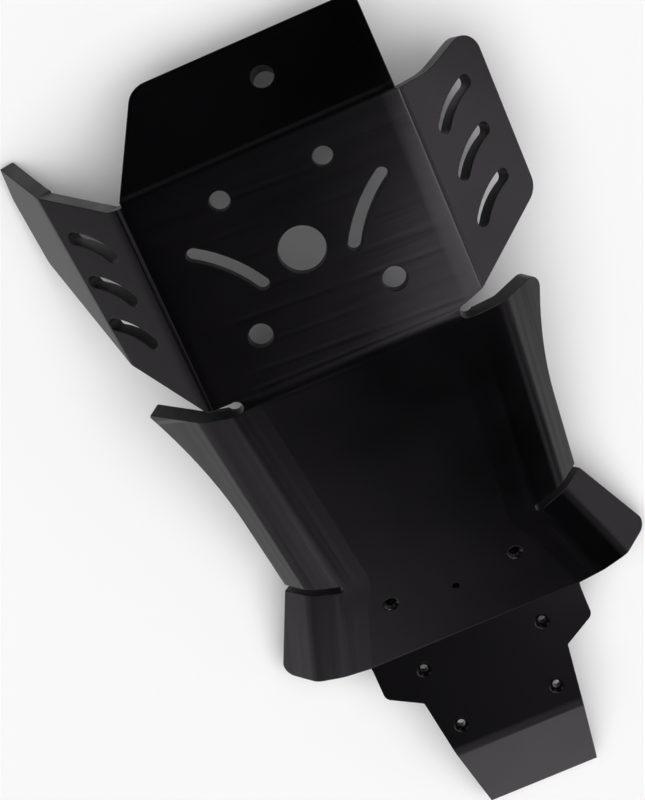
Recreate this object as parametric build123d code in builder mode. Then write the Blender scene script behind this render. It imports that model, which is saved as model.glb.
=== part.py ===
from build123d import *
import os
from math import cos, radians, sin, tan

# A skid plate: one board of polyethylene, cut to outline and folded hot. Sizes are on the outer face.
# It is drawn with the base flat, the outer face up and the front at +Y, then laid down to rest.

# Board
sheet = 10.0
sharp_fold = 7.0
inside_corner = 1.0
trim_reach = 2.0 * sheet

# Base, from the crease to the front fold
base_length = 237.0
notch_half = 75.0
notch_radius = 4.5

# Lips down the sides, folded twice: the long curls in front and the tabs behind them
lip_folds = (12.0, 25.0)
lip_pitch = 17.6
lip_radius = 20.0

# Curls, outlined from their first fold and from the crease, as seen square to the outer leaf
curl_root = 65.3
curl_splay = 3.7
curl_waist = (33.4, 146.0)
curl_rear = (33.0, 86.9)
left_curl_tip = (54.7, 244.5)
right_curl_tip = (52.2, 231.5)
left_curl_corner = 2.0
right_curl_corner = 9.0

# Slit between each curl and its tab
slit_end = 69.0
slit_radius = 2.2
slit_from = 74.9

# Tabs, outlined in the same way from a point of their first fold
tab_splay = 17.0
tab_start = (76.0, 61.0)
tab_front = 13.25
tab_front_tip = (34.3, 9.9)
tab_mid_rear = (17.0, 65.0)
tab_outer_rear = (42.8, 65.7)
tab_corner = 8.0

# Tail and its end flap
crease_angle = 23.0
crease_radius = 1.5
tail_length = 79.0
tail_half = 74.6
tail_shoulder = 24.0
tail_shoulder_radius = 6.0
tail_neck_half = 52.0
tail_neck_from = 37.0
tail_bend_half = 46.3
tail_bend_angle = 33.0
tail_bend_radius = 14.0
end_flap_length = 70.0
end_flap_half = 38.5

# Front panel
front_angle = 19.5
front_fold_radius = 25.0
front_length = 142.0
front_half = 89.0

# Top flap
top_angle = 32.0
top_bend_radius = 12.0
top_half = 86.5
top_length = 64.0
top_slant = 30.0
top_left_corner = 14.0
top_right_corner = 8.0

# Left wing and the strip bent along its outer edge
left_angle = 38.0
left_shoulder = 9.0
strip_foot = (45.8, 44.0)
strip_lean = 5.9
strip_angle = 18.0
strip_fold = 8.0
strip_length = 115.5
strip_width = 31.5
strip_tip = (26.0, 140.0)
strip_low = 76.0
strip_high = 120.0
strip_low_radius = 15.0
strip_high_radius = 10.0

# Right wing
right_angle = 31.0
right_shoulder = 22.0
right_shoulder_radius = 40.0
right_rise = 20.0
right_width = 62.0
right_top_corner = 12.0
right_low_corner = 14.0
right_low = 45.0
right_root = 9.5

# Holes
countersink = 10.4
screw_hole = 5.4
base_screws = (43.7, 46.6)
tail_front_screws = (42.6, 14.6)
tail_rear_screws = (34.6, 60.7)
pilot_hole = 4.8
pilot_from = 39.5
upper_hole = 12.4
upper_holes = (32.7, 119.2)
lower_hole = 14.8
lower_holes = (43.1, 35.7)
centre_hole = 28.8
centre_from = 73.6
top_hole = 14.0
top_hole_at = (18.2, 37.0)

# Slots, given by the centres of their round ends and the bow of their centre line
slot_width = 8.2
front_slot_outer = (59.9, 96.3)
front_slot_inner = (29.4, 64.2)
front_slot_bow = 2.7
wing_slot_bow = 2.2
left_slot_outer = (43.5, 129.0)
left_slot_inner = (21.0, 112.5)
left_slot_pitch = 28.8
right_slot_outer = (42.7, 122.8)
right_slot_inner = (18.0, 105.5)
right_slot_pitch = 30.2
wing_slots = 3


def tilted(origin, angle):
    return Plane(origin=origin, x_dir=(1, 0, 0), z_dir=(0, sin(radians(angle)), cos(radians(angle))))


# A panel folded from another along its Y axis, through a point of it; positive folds the +X side in
def turned(plane, point, angle):
    turn = radians(angle)
    return Plane(
        plane.from_local_coords((*point, 0)),
        plane.x_dir * cos(turn) - plane.z_dir * sin(turn),
        plane.x_dir * sin(turn) + plane.z_dir * cos(turn),
    )


def side_point(plane, distance):
    point = plane.from_local_coords((0, distance, 0))
    return Vector(point.Y, point.Z)


root_top = front_length - top_bend_radius * tan(radians(top_angle / 2))
base_plane = Plane.XY
front_plane = tilted((0, base_length, 0), front_angle)
top_plane = tilted(front_plane.from_local_coords((0, front_length, 0)), front_angle + top_angle)
tail_plane = tilted((0, 0, 0), crease_angle)
end_plane = tilted(tail_plane.from_local_coords((0, -tail_length, 0)), crease_angle - tail_bend_angle)
left_plane = turned(front_plane, (-front_half, 0), -left_angle)
right_plane = turned(front_plane, (front_half, 0), right_angle)
lean_plane = Plane(
    left_plane.from_local_coords((-strip_foot[0], strip_foot[1], 0)),
    left_plane.x_dir * cos(radians(strip_lean)) + left_plane.y_dir * sin(radians(strip_lean)),
    left_plane.z_dir,
)
strip_plane = turned(lean_plane, (0, 0), -strip_angle)


# The inner face runs one sheet to the right of the outer corners, and its folds are mitred to match.
def folded_section(corners, radii):
    points = [Vector(*corner) for corner in corners]
    runs = [(b - a).normalized() for a, b in zip(points, points[1:])]
    rights = [Vector(run.Y, -run.X) for run in runs]
    mitres = [(m + n) * (sheet / (1 + m.dot(n))) for m, n in zip(rights, rights[1:])]
    shifts = [rights[0] * sheet, *mitres, rights[-1] * sheet]
    turns = [m.cross(n).Z for m, n in zip(runs, runs[1:])]
    inner_points = [point + shift for point, shift in zip(points, shifts)]
    with BuildLine() as section:
        Polyline(*points, *reversed(inner_points), close=True)
    make_face(section.edges())
    for outer, inner, radius, turn in zip(points[1:-1], inner_points[1:-1], radii, turns):
        fillet(vertices().sort_by_distance(outer)[0], radius=radius)
        inner_radius = radius + sheet if turn > 0 else max(radius - sheet, inside_corner)
        fillet(vertices().sort_by_distance(inner)[0], radius=inner_radius)


# A board that runs flat to x = 0 and is then folded down twice
def lip_section(flat, reach):
    first = radians(lip_folds[0])
    both = radians(sum(lip_folds))
    second_fold = Vector(cos(first), -sin(first)) * lip_pitch
    folded_section(
        [(-flat, 0), (0, 0), second_fold, second_fold + Vector(cos(both), -sin(both)) * reach],
        [lip_radius, lip_radius],
    )


def outline(corners, radii):
    with BuildLine() as rim:
        FilletPolyline(*corners, radius=radii, close=True)
    make_face(rim.edges())


def mirrored_x(points):
    return [(-x, y) for x, y in points]


# Front fold
with BuildPart() as front_fold:
    with BuildSketch(Plane.YZ):
        folded_section(
            [
                (base_length - 2 * front_fold_radius, 0),
                (base_length, 0),
                side_point(front_plane, front_length / 2),
            ],
            [front_fold_radius],
        )
    extrude(amount=notch_half, both=True)

# Top bend and flap, with the left edge slanted
with BuildPart() as top_blank:
    with BuildSketch(top_plane):
        outline(
            [
                (-top_half, 0),
                (top_half, 0),
                (top_half, top_length),
                (top_slant - top_half, top_length),
            ],
            [0, 0, top_right_corner, top_left_corner],
        )
    extrude(amount=trim_reach, both=True)
    with BuildSketch(front_plane):
        with Locations((0, front_length)):
            Rectangle(2 * top_half, front_length, align=(Align.CENTER, Align.MAX))
    extrude(amount=trim_reach, both=True)

with BuildPart() as top_flap:
    with BuildSketch(Plane.YZ):
        folded_section(
            [
                side_point(front_plane, root_top - sheet),
                side_point(front_plane, front_length),
                side_point(top_plane, top_length + sheet),
            ],
            [top_bend_radius],
        )
    extrude(amount=front_half, both=True)
    add(top_blank.part, mode=Mode.INTERSECT)

# Tail and end flap
tail_corners = [
    (tail_half, sheet),
    (tail_half, -tail_shoulder),
    (tail_neck_half, -tail_neck_from),
    (tail_bend_half, -tail_length),
    (end_flap_half, -tail_length - end_flap_length),
]
tail_radii = [0, tail_shoulder_radius, crease_radius, 0, 0]
with BuildPart() as tail_blank:
    with BuildSketch(tail_plane):
        outline(tail_corners + mirrored_x(reversed(tail_corners)), tail_radii + tail_radii[::-1])
    extrude(amount=base_length, both=True)

with BuildPart() as tail:
    with BuildSketch(Plane.YZ):
        folded_section(
            [
                side_point(end_plane, -end_flap_length),
                side_point(tail_plane, -tail_length),
                (0, 0),
                (sheet, 0),
            ],
            [tail_bend_radius, crease_radius],
        )
    extrude(amount=tail_half, both=True)
    add(tail_blank.part, mode=Mode.INTERSECT)

# Front panel and wings, as one channel section trimmed to its outlines
left_rim = strip_length * cos(radians(strip_lean)) + strip_foot[1]
left_reach = strip_length * sin(radians(strip_lean)) + strip_foot[0]
right_peak = root_top + (right_width - right_shoulder) * tan(radians(right_rise))
with BuildPart() as wing_blank:
    with BuildSketch(front_plane):
        with BuildLine():
            Polyline(
                (-front_half, notch_radius),
                (notch_half, notch_radius),
                (front_half, right_root),
                (front_half, root_top),
                (-front_half, root_top),
                close=True,
            )
        make_face()
    extrude(amount=trim_reach, both=True)
    with BuildSketch(left_plane):
        with BuildLine():
            Polyline(
                (0, notch_radius),
                (-notch_radius, notch_radius),
                (-strip_foot[0], strip_foot[1]),
                (-left_reach, left_rim),
                (-left_shoulder, root_top),
                (0, root_top),
                close=True,
            )
        make_face()
    extrude(amount=trim_reach, both=True)
    with BuildSketch(strip_plane):
        outline(
            [
                (0, 0),
                (-strip_width, strip_low),
                (-strip_width, strip_high),
                (-strip_tip[0], strip_tip[1]),
                (0, strip_length),
            ],
            [0, strip_low_radius, strip_high_radius, 0, 0],
        )
    extrude(amount=trim_reach, both=True)
    with BuildSketch(right_plane):
        outline(
            [
                (0, right_root),
                (right_width, right_low),
                (right_width, right_peak),
                (right_shoulder, root_top),
                (0, root_top),
            ],
            [0, right_low_corner, right_top_corner, right_shoulder_radius, 0],
        )
    extrude(amount=trim_reach, both=True)

wing_arm = strip_foot[0] - sheet
with BuildPart() as wings:
    with BuildSketch(Plane(front_plane.origin, front_plane.x_dir, -front_plane.y_dir)):
        folded_section(
            [
                (-front_half - wing_arm * cos(radians(left_angle)), -wing_arm * sin(radians(left_angle))),
                (-front_half, 0),
                (front_half, 0),
                (
                    front_half + 2 * right_width * cos(radians(right_angle)),
                    -2 * right_width * sin(radians(right_angle)),
                ),
            ],
            [sharp_fold, sharp_fold],
        )
    extrude(amount=-left_rim)
    add(wing_blank.part, mode=Mode.INTERSECT)

with BuildPart() as strip:
    with BuildSketch(
        Plane(lean_plane.from_local_coords((0, -strip_width, 0)), lean_plane.x_dir, -lean_plane.y_dir)
    ):
        folded_section(
            [
                (
                    -2 * strip_width * cos(radians(strip_angle)),
                    -2 * strip_width * sin(radians(strip_angle)),
                ),
                (0, 0),
                (wing_arm, 0),
            ],
            [strip_fold],
        )
    extrude(amount=-strip_tip[1] - 2 * strip_width)
    add(wing_blank.part, mode=Mode.INTERSECT)

# Belly with its two curls
lip_tilt = sum(lip_folds)
curl_out = (cos(radians(curl_splay)), -sin(radians(curl_splay)), 0)
curl_frame = Plane((curl_root, 0, 0), curl_out)
curl_plane = turned(curl_frame, (0, 0), lip_tilt)
notch_foot = (notch_half, base_length - notch_radius)
slit_foot = (slit_end, slit_from + slit_radius)


def on_curl(point):
    seen = curl_plane.to_local_coords(Vector(*point))
    return (seen.X, seen.Y)


def curl_outline(tip, corner):
    with BuildLine() as rim:
        edge = Line(curl_rear, curl_waist)
        TangentArc(curl_waist, tip, tangent=edge % 1)
        Polyline(tip, on_curl(notch_foot), on_curl(slit_foot), curl_rear)
    make_face(rim.edges())
    fillet(vertices().sort_by_distance(tip)[0], radius=corner)


with BuildPart() as left_curl_blank:
    with BuildSketch(curl_plane):
        curl_outline(left_curl_tip, left_curl_corner)
    extrude(amount=trim_reach, both=True)

with BuildPart() as belly_blank:
    with BuildSketch(base_plane):
        half_belly = [(slit_end, slit_from - sheet), slit_foot, notch_foot]
        with BuildLine():
            Polyline(*half_belly, *mirrored_x(reversed(half_belly)), close=True)
        make_face()
    extrude(amount=sheet, both=True)
    with BuildSketch(curl_plane):
        curl_outline(right_curl_tip, right_curl_corner)
    extrude(amount=trim_reach, both=True)
    add(mirror(left_curl_blank.part, about=Plane.YZ))

with BuildPart() as belly:
    curl_front = curl_frame.from_local_coords((0, base_length + sheet, 0))
    with BuildSketch(Plane(curl_front, curl_frame.x_dir, -curl_frame.y_dir)):
        lip_section(front_half, left_curl_tip[0])
    extrude(amount=base_length)
    mirror(about=Plane.YZ)
    add(belly_blank.part, mode=Mode.INTERSECT)

# Heel: the flat rear of the base
with BuildPart() as heel:
    with BuildSketch(base_plane):
        heel_corners = [
            (tail_half, sheet / 2),
            (slit_end - 2 * slit_radius, tab_start[1]),
            (slit_end - 2 * slit_radius, curl_rear[1]),
        ]
        with BuildLine():
            Polyline(*heel_corners, *mirrored_x(reversed(heel_corners)), close=True)
        make_face()
    extrude(amount=-sheet)

# Tabs
tab_out = (cos(radians(tab_splay)), sin(radians(tab_splay)), 0)
tab_frame = Plane((*tab_start, 0), tab_out)
tab_plane = turned(tab_frame, (0, 0), lip_tilt)
tab_root = tab_frame.to_local_coords(Vector(tail_half, 0, 0))
tab_inner = tab_root.X * cos(radians(lip_tilt))
with BuildPart() as tab_blank:
    with BuildSketch(tab_plane):
        outline(
            [
                (tab_inner, tab_front),
                (tab_inner, tab_root.Y),
                (tab_mid_rear[0], -tab_mid_rear[1]),
                (tab_outer_rear[0], -tab_outer_rear[1]),
                tab_front_tip,
            ],
            [0, 0, tab_corner, tab_corner, inside_corner],
        )
    extrude(amount=2 * trim_reach, both=True)

with BuildPart() as tab:
    tab_edge = tab_frame.from_local_coords((0, tab_front, 0))
    with BuildSketch(Plane(tab_edge, tab_frame.x_dir, -tab_frame.y_dir)):
        lip_section(-2 * tab_root.X, tab_outer_rear[0])
    extrude(amount=tab_front + 2 * tab_outer_rear[1])
    add(tab_blank.part, mode=Mode.INTERSECT)

# Slots along bowed centre lines; a positive bow is to the right of the run from outer to inner end
def bowed(outer, inner, bow):
    start = Vector(*outer)
    end = Vector(*inner)
    run = (end - start).normalized()
    return ThreePointArc(start, (start + end) / 2 + Vector(run.Y, -run.X) * bow, end)


def wing_slot(outer, inner, bow, drop):
    return bowed((outer[0], outer[1] - drop), (inner[0], inner[1] - drop), bow)


def both_sides(point):
    return [point, (-point[0], point[1])]


def on_panel(plane, points):
    return [plane.location * Location((x, y, 0)) for x, y in points]


front_slots = [
    bowed(front_slot_outer, front_slot_inner, front_slot_bow),
    bowed(both_sides(front_slot_outer)[1], both_sides(front_slot_inner)[1], -front_slot_bow),
]
left_slots = [
    wing_slot(
        both_sides(left_slot_outer)[1],
        both_sides(left_slot_inner)[1],
        -wing_slot_bow,
        row * left_slot_pitch,
    )
    for row in range(wing_slots)
]
right_slots = [
    wing_slot(right_slot_outer, right_slot_inner, wing_slot_bow, row * right_slot_pitch)
    for row in range(wing_slots)
]

# The whole board
with BuildPart() as drawn:
    add(front_fold.part)
    add(wings.part)
    add(strip.part)
    add(top_flap.part)
    add(belly.part)
    add(heel.part)
    add(tab.part)
    add(mirror(tab.part, about=Plane.YZ))
    add(tail.part)

    # Round ends of the notches and slits
    with BuildSketch(tilted((0, base_length, 0), front_angle / 2)):
        with Locations(*both_sides((notch_half, 0))):
            Circle(notch_radius)
    extrude(amount=trim_reach, both=True, mode=Mode.SUBTRACT)
    with BuildSketch(base_plane):
        with Locations(*both_sides((slit_end, slit_from))):
            Circle(slit_radius)
    extrude(amount=trim_reach, both=True, mode=Mode.SUBTRACT)

    # Holes and slots
    with BuildSketch(front_plane):
        with Locations(*both_sides(upper_holes)):
            Circle(upper_hole / 2)
        with Locations(*both_sides(lower_holes)):
            Circle(lower_hole / 2)
        with Locations((0, centre_from)):
            Circle(centre_hole / 2)
        for slot in front_slots:
            SlotArc(slot, slot_width)
    extrude(amount=trim_reach, both=True, mode=Mode.SUBTRACT)
    with BuildSketch(left_plane):
        for slot in left_slots:
            SlotArc(slot, slot_width)
    extrude(amount=trim_reach, both=True, mode=Mode.SUBTRACT)
    with BuildSketch(right_plane):
        for slot in right_slots:
            SlotArc(slot, slot_width)
    extrude(amount=trim_reach, both=True, mode=Mode.SUBTRACT)
    with Locations(*on_panel(top_plane, [top_hole_at])):
        Hole(top_hole / 2, depth=trim_reach)
    with Locations(*on_panel(base_plane, [(0, pilot_from)])):
        Hole(pilot_hole / 2, depth=trim_reach)
    with Locations(
        *on_panel(base_plane, both_sides(base_screws)),
        *on_panel(tail_plane, both_sides((tail_front_screws[0], -tail_front_screws[1]))),
        *on_panel(tail_plane, both_sides((tail_rear_screws[0], -tail_rear_screws[1]))),
    ):
        CounterSinkHole(screw_hole / 2, countersink / 2, depth=trim_reach, counter_sink_angle=90)

# It rests hollow side down, on the strip's outer corner, the right tab and the right end of the tail.
def nearest_corner(point):
    return drawn.vertices().sort_by_distance(point)[0].center()


strip_corner = nearest_corner(strip_plane.from_local_coords((-strip_width, strip_high, -sheet)))
tail_foot = nearest_corner(end_plane.from_local_coords((end_flap_half, -end_flap_length, -sheet)))
tab_foot = nearest_corner(
    tab_plane.from_local_coords((tab_outer_rear[0], tab_corner - tab_outer_rear[1], -2 * sheet))
)
up = (tail_foot - strip_corner).cross(tab_foot - strip_corner).normalized()
rest_plane = Plane(strip_corner, up.cross(Vector(0, 1, 0)), up)
laid = rest_plane.to_local_coords(drawn.part)
box = laid.bounding_box()

with BuildPart() as skid_plate:
    with Locations((-box.center().X, -box.center().Y, -box.min.Z)):
        add(laid)

skid_plate.part.label = "skid_plate"
os.makedirs("parts", exist_ok=True)
export_step(skid_plate.part, "parts/skid_plate.step")
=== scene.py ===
import math

import bmesh
import bpy
from mathutils import Matrix, Vector


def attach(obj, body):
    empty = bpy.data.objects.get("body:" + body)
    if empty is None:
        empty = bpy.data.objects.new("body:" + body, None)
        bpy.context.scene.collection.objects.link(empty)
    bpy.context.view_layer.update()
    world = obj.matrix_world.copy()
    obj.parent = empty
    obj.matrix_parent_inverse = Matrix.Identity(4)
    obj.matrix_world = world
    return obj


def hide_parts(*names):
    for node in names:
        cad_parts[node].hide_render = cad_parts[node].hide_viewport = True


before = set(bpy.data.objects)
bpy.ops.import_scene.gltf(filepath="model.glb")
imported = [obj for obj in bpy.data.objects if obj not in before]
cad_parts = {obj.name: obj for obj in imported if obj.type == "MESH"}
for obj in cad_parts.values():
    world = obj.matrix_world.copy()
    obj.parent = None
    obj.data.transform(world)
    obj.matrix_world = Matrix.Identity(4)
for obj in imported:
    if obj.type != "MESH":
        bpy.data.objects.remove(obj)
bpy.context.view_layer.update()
scene = bpy.context.scene
scene.view_settings.view_transform = "Standard"
print("stage: frame loaded")

# Camera: high over the front of the plate, with the picture turned nearly upside down
view = {
    "eye": Vector((-0.0818, -0.52136, 1.19067)),
    "right": Vector((-0.92146, 0.38203, 0.07046)),
    "down": Vector((0.37932, 0.84566, 0.37548)),
    "lens": 90.0,
    "sensorWidth": 36.0,
    "farEnd": 50.0,
}


def makeCamera():
    right = view["right"].normalized()
    up = -view["down"].normalized()
    back = right.cross(up)
    turn = Matrix((right, up, back)).transposed().to_4x4()
    data = bpy.data.cameras.new("photoCamera")
    data.lens = view["lens"]
    data.sensor_width = view["sensorWidth"]
    data.clip_end = view["farEnd"]
    camera = bpy.data.objects.new("photoCamera", data)
    camera.matrix_world = Matrix.Translation(view["eye"]) @ turn
    scene.collection.objects.link(camera)
    scene.camera = camera


makeCamera()
print("stage: camera")

# A noise's middle value, and the range that most of it falls in
noiseMiddle = 0.5
noiseRange = (0.3, 0.7)


class Nodes:
    def __init__(self, tree):
        self.tree = tree
        tree.nodes.clear()

    def add(self, kind, **values):
        node = self.tree.nodes.new(kind)
        for name, value in values.items():
            setattr(node, name, value)
        return node

    # a socket is joined, a plain number or colour is written on the input
    def give(self, node, socket, value):
        if isinstance(value, bpy.types.NodeSocket):
            self.tree.links.new(value, node.inputs[socket])
        else:
            node.inputs[socket].default_value = value

    def math(self, operation, *values):
        node = self.add("ShaderNodeMath", operation=operation)
        for socket, value in enumerate(values):
            self.give(node, socket, value)
        return node.outputs[0]

    def total(self, values):
        result = values[0]
        for value in values[1:]:
            result = self.math("ADD", result, value)
        return result

    def spread(self, value, low, high, bottom=0.0, top=1.0, kind="SMOOTHSTEP"):
        node = self.add("ShaderNodeMapRange", interpolation_type=kind)
        self.give(node, "Value", value)
        self.give(node, "From Min", low)
        self.give(node, "From Max", high)
        self.give(node, "To Min", bottom)
        self.give(node, "To Max", top)
        return node.outputs["Result"]

    def noise(self, place, stretch, detail):
        turn = self.add("ShaderNodeMapping")
        self.give(turn, "Vector", place)
        self.give(turn, "Scale", stretch)
        node = self.add("ShaderNodeTexNoise")
        self.give(node, "Vector", turn.outputs["Vector"])
        self.give(node, "Scale", 1.0)
        self.give(node, "Detail", detail)
        return node.outputs["Fac"]

    # a noise that swings either side of nothing
    def waves(self, place, stretch, detail):
        return self.math("SUBTRACT", self.noise(place, stretch, detail), noiseMiddle)

    # inputs 6 and 7 are the two colours, and output 2 is the colour between them
    def mix(self, factor, first, second):
        node = self.add("ShaderNodeMix", data_type="RGBA")
        self.give(node, "Factor", factor)
        self.give(node, 6, first)
        self.give(node, 7, second)
        return node.outputs[2]

    def relief(self, height, depth):
        node = self.add("ShaderNodeBump")
        self.give(node, "Strength", 1.0)
        self.give(node, "Distance", depth)
        self.give(node, "Height", height)
        return node.outputs["Normal"]


# Board: black polyethylene with a glossy skin, drawn along the front panel and rolled along the lips
board = {
    "ior": 1.6,
    "shades": ((0.0006, 0.0005, 0.0007, 1.0), (0.0014, 0.0011, 0.0015, 1.0)),
    "roughness": (0.19, 0.26),
    "markRough": 0.05,
    # repeats in a metre along X, Y and Z, and fineness of the detail
    "shadeGrain": ((9.0, 9.0, 9.0), 5.0),
    "roughGrain": ((14.0, 14.0, 14.0), 6.0),
    "skinGrain": ((900.0, 900.0, 900.0), 3.0),
    "drawGrain": ((4.0, 130.0, 130.0), 4.0),
    "strokeGrain": ((13.0, 18.0, 18.0), 2.0),
    "rollGrain": ((120.0, 3.0, 3.0), 1.5),
    "skinDepth": 0.000003,
    "drawDepth": 0.00008,
    "rollDepth": 0.00030,
    # front panel: its end, its two sides and the end of its draw marks
    "frontEnd": -0.0905,
    "frontFade": 0.004,
    "panelEdges": (-0.0945, 0.0815),
    "panelFade": 0.002,
    "drawEnd": -0.078,
    "strokeRange": (0.40, 0.62),  # of the stroke noise, from where a draw line is faint to where it is full
    # where a draw line crosses X = 0, its slope, half width and depth
    "drawLines": (
        (-0.2073, -0.066, 0.0034, 0.00008),
        (-0.1870, -0.064, 0.0026, 0.00004),
        (-0.1720, -0.060, 0.0024, 0.00005),
        (-0.1510, -0.058, 0.0030, 0.00005),
        (-0.1364, -0.055, 0.0028, 0.00007),
        (-0.1190, -0.054, 0.0026, 0.00005),
        (-0.1040, -0.053, 0.0028, 0.00012),
        (-0.0960, -0.010, 0.0024, 0.00011),
        (-0.0850, -0.010, 0.0026, 0.00006),
    ),
    # lips and tabs: their first folds lean from the plate's middle line and are crossfaded at the slits
    "middle": -0.0067,
    "lipSlope": 0.077,
    "tabSlope": -0.3145,
    "tabShift": 0.0239,
    "tabEdges": (0.0640, 0.0900),
    "lipFold": 0.0745,
    "lipBand": 0.0203,
    "lipTilt": 0.024,
    "rollStart": 0.050,
    "rollGap": (0.0770, 0.004, 0.016),  # where the slits are, and where beside them the marks fade
    # wings: their folds, and the width and curvature of the soft shoulder beside each
    "rightFold": -0.0955,
    "rightShoulder": 0.014,
    "rightBend": 14.0,
    "leftFold": 0.0830,
    "leftShoulder": 0.008,
    "leftBend": 11.0,
    # painted highlight: the pale colour laid along the rear crease and the tail's bend
    "highlightColour": (0.03, 0.027, 0.03, 1.0),
    # where the rear crease and the tail's bend lie, and the half width and strength of the highlight
    # painted along each
    "highlightBends": ((0.1392, 0.0010, 0.35), (0.2172, 0.0042, 0.6)),
}


def startMaterial(name):
    material = bpy.data.materials.new(name)
    material.use_nodes = True
    n = Nodes(material.node_tree)
    out = n.add("ShaderNodeOutputMaterial")
    shader = n.add("ShaderNodeBsdfPrincipled")
    shader.inputs["IOR"].default_value = board["ior"]
    n.give(out, "Surface", shader.outputs["BSDF"])
    place = n.add("ShaderNodeTexCoord").outputs["Object"]
    return material, n, shader, place


# draw marks across the front panel: a fine streak all over, and a few broken lines
def drawMarks(n, place, x, y):
    right, left = board["panelEdges"]
    fromRight = n.spread(x, right, right + board["panelFade"])
    fromLeft = n.spread(x, left, left - board["panelFade"])
    fromEnd = n.spread(y, board["drawEnd"], board["frontEnd"])
    onPanel = n.math("MULTIPLY", n.math("MULTIPLY", fromRight, fromLeft), fromEnd)
    drawn = n.math("MULTIPLY", n.waves(place, *board["drawGrain"]), onPanel)
    heights = [n.math("MULTIPLY", drawn, board["drawDepth"])]
    strokes = n.spread(n.noise(place, *board["strokeGrain"]), *board["strokeRange"])
    strokes = n.math("MULTIPLY", strokes, onPanel)
    for start, slope, wide, depth in board["drawLines"]:
        line = n.math("MULTIPLY_ADD", x, -slope, n.math("SUBTRACT", y, start))
        groove = n.spread(n.math("ABSOLUTE", line), 0.0, wide, -depth, 0.0)
        heights.append(n.math("MULTIPLY", groove, strokes))
    return drawn, heights


# lips and tabs: a slight tilt beside the first fold and roll marks along it
def rollMarks(n, x, y, offFront):
    off = n.math("ABSOLUTE", n.math("SUBTRACT", x, board["middle"]))
    isTab = n.spread(y, *board["tabEdges"])
    slope = n.spread(isTab, 0.0, 1.0, board["lipSlope"], board["tabSlope"], "LINEAR")
    shift = n.math("MULTIPLY", isTab, board["tabShift"])
    across = n.math("ADD", n.math("MULTIPLY_ADD", y, slope, off), shift)
    bandStart = board["lipFold"] - board["lipBand"]
    bandDrop = -board["lipBand"] * board["lipTilt"]
    band = n.spread(across, bandStart, board["lipFold"], 0.0, bandDrop, "LINEAR")
    rollPlace = n.add("ShaderNodeCombineXYZ")
    n.give(rollPlace, "X", across)
    n.give(rollPlace, "Y", y)
    roll = n.waves(rollPlace.outputs["Vector"], *board["rollGrain"])
    onLip = n.math("MULTIPLY", n.spread(across, board["rollStart"], board["lipFold"]), offFront)
    gap, gapStart, gapEnd = board["rollGap"]
    offSlit = n.spread(n.math("ABSOLUTE", n.math("SUBTRACT", y, gap)), gapStart, gapEnd)
    rolled = n.math("MULTIPLY", n.math("MULTIPLY", roll, onLip), offSlit)
    heights = [
        n.math("MULTIPLY", band, offFront),
        n.math("MULTIPLY", rolled, board["rollDepth"]),
    ]
    return rolled, heights


# soft shoulders beside the folds of the two wings
def wingShoulders(n, x, onFront):
    heights = []
    for side in ("right", "left"):
        wide = board[side + "Shoulder"]
        far = n.math("SUBTRACT", x, board[side + "Fold"])
        if side == "left":
            far = n.math("ABSOLUTE", far)
        near = n.math("MAXIMUM", n.math("SUBTRACT", wide, far), 0.0)
        near = n.math("MINIMUM", near, wide)
        bend = n.math("MULTIPLY", n.math("MULTIPLY", near, near), -board[side + "Bend"] / 2)
        heights.append(n.math("MULTIPLY", bend, onFront))
    return heights


# the colour clouds a little, and a painted highlight pales it along the rear crease and where the tail is
# bent
def boardColourAndHighlight(n, place, y):
    cloud = n.spread(n.noise(place, *board["shadeGrain"]), *noiseRange)
    highlights = []
    # a highlight painted along each bend
    for middle, wide, strength in board["highlightBends"]:
        line = n.math("ABSOLUTE", n.math("SUBTRACT", y, middle))
        highlights.append(n.spread(line, 0.0, wide, strength, 0.0))
    return n.mix(n.total(highlights), n.mix(cloud, *board["shades"]), board["highlightColour"])


def boardMaterial():
    material, n, shader, place = startMaterial("blackPolyethylene")
    parts = n.add("ShaderNodeSeparateXYZ")
    n.give(parts, 0, place)
    x, y = parts.outputs["X"], parts.outputs["Y"]
    onFront = n.spread(y, board["frontEnd"], board["frontEnd"] - board["frontFade"])
    offFront = n.math("SUBTRACT", 1.0, onFront)
    drawn, drawHeights = drawMarks(n, place, x, y)
    rolled, rollHeights = rollMarks(n, x, y, offFront)
    skin = n.math("MULTIPLY", n.noise(place, *board["skinGrain"]), board["skinDepth"])
    heights = [*drawHeights, *rollHeights, *wingShoulders(n, x, onFront), skin]
    n.give(shader, "Normal", n.relief(n.total(heights), 1.0))  # the heights are already in metres
    rough = n.noise(place, *board["roughGrain"])
    rough = n.spread(rough, *noiseRange, *board["roughness"], "LINEAR")
    rough = n.math("MULTIPLY_ADD", n.math("ADD", drawn, rolled), board["markRough"], rough)
    n.give(shader, "Roughness", rough)
    n.give(shader, "Base Color", boardColourAndHighlight(n, place, y))
    return material


# Cut walls: the sawn and milled edges of the board, paler and duller than its faces
wall = {
    "name": "cutPolyethylene",
    "shades": ((0.003, 0.0027, 0.003, 1.0), (0.008, 0.0074, 0.008, 1.0)),
    "roughness": (0.42, 0.6),
    "roughGrain": ((60.0, 60.0, 60.0), 4.0),
    "toolGrain": ((700.0, 700.0, 90.0), 2.0),
    "toolDepth": 0.00004,
}

# Screw seats: turned smooth by the countersink, so they glint
seat = {
    "name": "turnedPolyethylene",
    "shades": ((0.001, 0.0009, 0.001, 1.0), (0.004, 0.0036, 0.004, 1.0)),
    "roughness": (0.10, 0.20),
    "roughGrain": ((120.0, 120.0, 1800.0), 2.0),
    "toolGrain": ((120.0, 120.0, 1800.0), 2.0),
    "toolDepth": 0.00003,
}


def cutMaterial(cut):
    material, n, shader, place = startMaterial(cut["name"])
    rough = n.noise(place, *cut["roughGrain"])
    tool = n.noise(place, *cut["toolGrain"])
    n.give(shader, "Roughness", n.spread(rough, *noiseRange, *cut["roughness"], "LINEAR"))
    n.give(shader, "Base Color", n.mix(n.spread(tool, *noiseRange), *cut["shades"]))
    n.give(shader, "Normal", n.relief(tool, cut["toolDepth"]))
    return material


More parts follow.
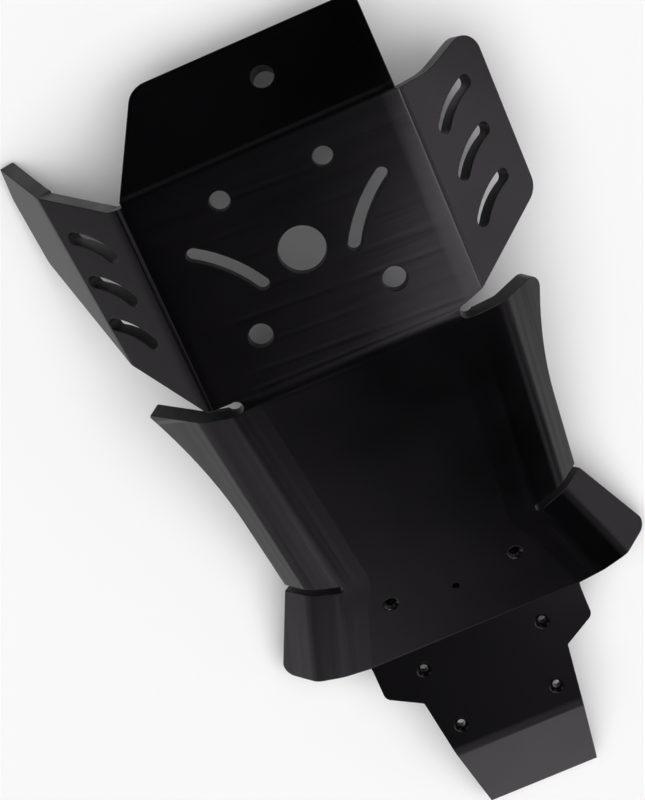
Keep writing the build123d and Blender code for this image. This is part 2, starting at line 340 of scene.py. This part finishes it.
# Plate: the board with its cut edges eased, its walls and screw seats told apart from its two faces
plate = {
    "node": "skid_plate",
    "mergeDistance": 0.0001,
    "flatAngle": math.radians(0.6),
    "edgeAngle": math.radians(30.0),
    "edgeEase": 0.0005,
    "edgeSteps": 2,
    "faceArea": 0.02,  # a smooth patch larger than this is skin
    "seatArea": 0.0003,  # a smaller one that closes to a ring is a screw seat or its bore
    "seatLean": 0.8,
    "shadeWeight": 100,
}
finishes = ("skin", "wall", "seat")  # in the order of the plate's materials


def isSharp(edge):
    return edge.calc_face_angle() > plate["edgeAngle"]


def markFinishes(bm):
    left = set(bm.faces)
    while left:
        region = [left.pop()]
        for face in region:
            for edge in face.edges:
                if not isSharp(edge):
                    near = [other for other in edge.link_faces if other in left]
                    region += near
                    left.difference_update(near)
        area = sum(face.calc_area() for face in region)
        lean = sum((face.normal * face.calc_area() for face in region), Vector()).length / area
        if area > plate["faceArea"]:
            finish = "skin"
        elif area < plate["seatArea"] and lean < plate["seatLean"]:
            finish = "seat"
        else:
            finish = "wall"
        for face in region:
            face.material_index = finishes.index(finish)
            face.smooth = True


def makePlate():
    bm = bmesh.new()
    bm.from_mesh(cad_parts[plate["node"]].data)
    bmesh.ops.remove_doubles(bm, verts=bm.verts, dist=plate["mergeDistance"])
    bmesh.ops.dissolve_limit(bm, angle_limit=plate["flatAngle"], verts=bm.verts, edges=bm.edges)
    markFinishes(bm)
    bmesh.ops.bevel(
        bm,
        geom=[edge for edge in bm.edges if isSharp(edge)],
        affect="EDGES",
        offset=plate["edgeEase"],
        segments=plate["edgeSteps"],
        profile=0.5,
        material=-1,
        clamp_overlap=False,
    )
    mesh = bpy.data.meshes.new("foldedPlate")
    bm.to_mesh(mesh)
    bm.free()
    mesh.materials.append(boardMaterial())
    mesh.materials.append(cutMaterial(wall))
    mesh.materials.append(cutMaterial(seat))
    piece = bpy.data.objects.new("foldedPlate", mesh)
    scene.collection.objects.link(piece)
    shade = piece.modifiers.new("evenShade", "WEIGHTED_NORMAL")
    shade.weight = plate["shadeWeight"]
    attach(piece, "root")
    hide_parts(plate["node"])


makePlate()
print("stage: plate")

# Stage: a pale floor in even light, with soft boxes all round for the skin to mirror
stage = {
    "floorSize": 80.0,
    "floorColour": (0.90, 0.90, 0.90, 1.0),
    "floorRoughness": 0.9,
    "fillStrength": 2.86,
    "fillAngle": math.radians(100.0),
    "tint": (1.0, 0.92, 1.0),
    # azimuth from +X to +Y, height over the horizon and half width in degrees, strength
    "softBoxes": (
        (0, 4, 14, 0.10),
        (15, 4, 14, 0.42),
        (30, 4, 14, 0.60),
        (90, 4, 14, 0.75),
        (135, 4, 14, 0.15),
        (30, 16, 14, 0.20),
        (45, 16, 14, 0.42),
        (90, 16, 14, 0.30),
        (150, 16, 14, 0.52),
        (122, 19, 8, 0.45),
        (45, 28, 14, 0.10),
        (60, 28, 14, 0.30),
        (75, 28, 14, 0.74),
        (135, 28, 14, 0.17),
        (165, 28, 14, 1.00),
        (180, 26, 14, 0.20),
        (6, 50, 9, 0.75),
        (172, 57, 13, 2.20),
        (90, 71, 10, 0.15),
        (125, 76, 14, 0.07),
        (150, 76, 14, 0.18),
        (224, 32, 26, 0.42),
        (316, 32, 26, 0.34),
        (270, 54, 15, 0.12),
        (270, 2, 11, 0.40),
    ),
    # a small round light that draws the sheen of the front panel
    "sheenPlace": Vector((-0.24, 0.03, 0.57)),
    "sheenAim": Vector((-0.08, -0.13, 0.08)),
    "sheenWidth": 0.40,
    "sheenPower": 0.40,
}


def makeFloor():
    bm = bmesh.new()
    bmesh.ops.create_grid(bm, x_segments=1, y_segments=1, size=stage["floorSize"] / 2)
    mesh = bpy.data.meshes.new("floor")
    bm.to_mesh(mesh)
    bm.free()
    floor = bpy.data.objects.new("floor", mesh)
    scene.collection.objects.link(floor)
    material = bpy.data.materials.new("paleFloor")
    material.use_nodes = True
    shader = material.node_tree.nodes["Principled BSDF"]
    shader.inputs["Base Color"].default_value = stage["floorColour"]
    shader.inputs["Roughness"].default_value = stage["floorRoughness"]
    mesh.materials.append(material)


def makeFill():
    data = bpy.data.lights.new("fill", "SUN")
    data.energy = stage["fillStrength"]
    data.angle = stage["fillAngle"]
    fill = bpy.data.objects.new("fill", data)
    fill.visible_glossy = False  # even light only, so that no great white lamp shows in the plate
    scene.collection.objects.link(fill)


def makeSheen():
    data = bpy.data.lights.new("panelSheen", "AREA")
    data.shape = "DISK"
    data.size = stage["sheenWidth"]
    data.energy = stage["sheenPower"]
    data.color = stage["tint"]
    light = bpy.data.objects.new("panelSheen", data)
    light.location = stage["sheenPlace"]
    toAim = stage["sheenAim"] - stage["sheenPlace"]
    light.rotation_euler = toAim.to_track_quat("-Z", "Y").to_euler()
    light.visible_camera = False
    light.visible_diffuse = False
    scene.collection.objects.link(light)


def makeWorld():
    world = bpy.data.worlds.new("studio")
    scene.world = world
    world.use_nodes = True
    n = Nodes(world.node_tree)
    out = n.add("ShaderNodeOutputWorld")
    sky = n.add("ShaderNodeBackground")
    sky.inputs["Color"].default_value = (*stage["tint"], 1.0)
    place = n.add("ShaderNodeTexCoord").outputs["Generated"]
    boxes = []
    for azimuth, height, halfWidth, strength in stage["softBoxes"]:
        turn, rise = math.radians(azimuth), math.radians(height)
        level = math.cos(rise)
        toBox = (math.cos(turn) * level, math.sin(turn) * level, math.sin(rise))
        near = n.add("ShaderNodeVectorMath", operation="DOT_PRODUCT")
        n.give(near, 0, place)
        n.give(near, 1, toBox)
        edge = math.cos(math.radians(halfWidth))
        boxes.append(n.spread(near.outputs["Value"], edge, 1.0, 0.0, strength, "SMOOTHERSTEP"))
    n.give(sky, "Strength", n.total(boxes))
    n.give(out, "Surface", sky.outputs["Background"])


makeFloor()
makeFill()
makeSheen()
makeWorld()
print("stage: floor, lights and world")
